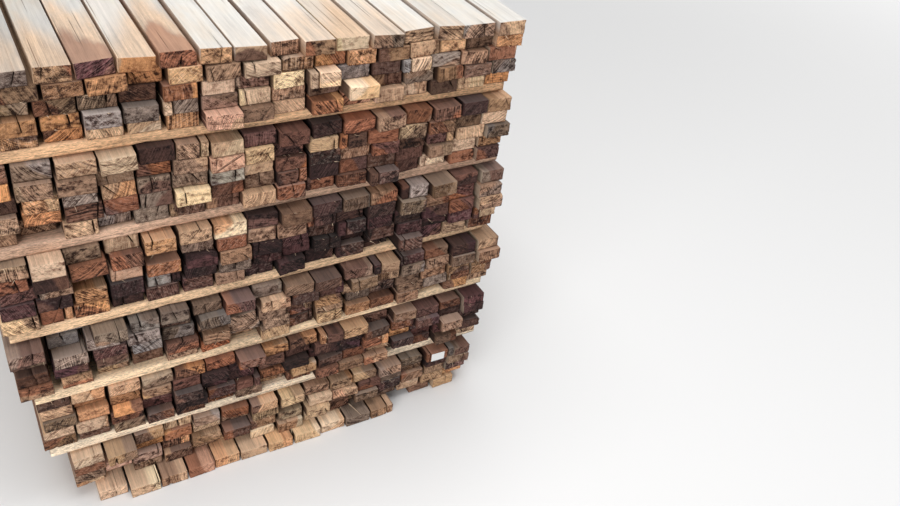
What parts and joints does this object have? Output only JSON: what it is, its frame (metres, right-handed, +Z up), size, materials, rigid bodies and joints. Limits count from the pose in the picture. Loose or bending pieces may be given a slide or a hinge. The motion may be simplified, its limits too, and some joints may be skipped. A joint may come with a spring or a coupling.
{
  "type": "stack of lumber",
  "caption": "Stack of sawn wood battens laid side by side in rows, in tiers parted by thin cross boards, with uneven ends.",
  "frame": {"origin": "on the ground under the middle of the stack", "axes": "+Y along the battens, +X across the rows with the pictured ends facing -Y, +Z up"},
  "size_m": [0.8566, 2.473, 0.8002],
  "materials": {
    "batten_wood": "rough sawn, weathered, tan to dark brown",
    "bleached_wood": "rough sawn, bleached by the sun",
    "board_wood": "fresh sawn, pale"
  },
  "bodies": {
    "root": {"cross_boards_1": "board_wood", "cross_boards_2": "board_wood", "cross_boards_3": "board_wood", "cross_boards_4": "board_wood", "cross_boards_5": "board_wood", "tier_1_row_1": "batten_wood", "tier_1_row_2": "batten_wood", "tier_1_row_3": "batten_wood", "tier_1_row_4": "batten_wood", "tier_1_row_5": "batten_wood", "tier_2_row_1": "batten_wood", "tier_2_row_2": "batten_wood", "tier_2_row_3": "batten_wood", "tier_2_row_4": "batten_wood", "tier_2_row_5": "batten_wood", "tier_3_row_1": "batten_wood", "tier_3_row_2": "batten_wood", "tier_3_row_3": "batten_wood", "tier_3_row_4": "batten_wood", "tier_3_row_5": "batten_wood", "tier_4_row_1": "batten_wood", "tier_4_row_2": "batten_wood", "tier_4_row_3": "batten_wood", "tier_4_row_4": "batten_wood", "tier_4_row_5": "batten_wood", "tier_5_row_1": "batten_wood", "tier_5_row_2": "batten_wood", "tier_5_row_3": "batten_wood", "tier_5_row_4": "batten_wood", "tier_5_row_5": "batten_wood", "tier_6_row_1": "batten_wood", "tier_6_row_2": "batten_wood", "tier_6_row_3": "batten_wood", "tier_6_row_4": "batten_wood", "tier_6_row_5": "bleached_wood"}
  },
  "joints": []
}
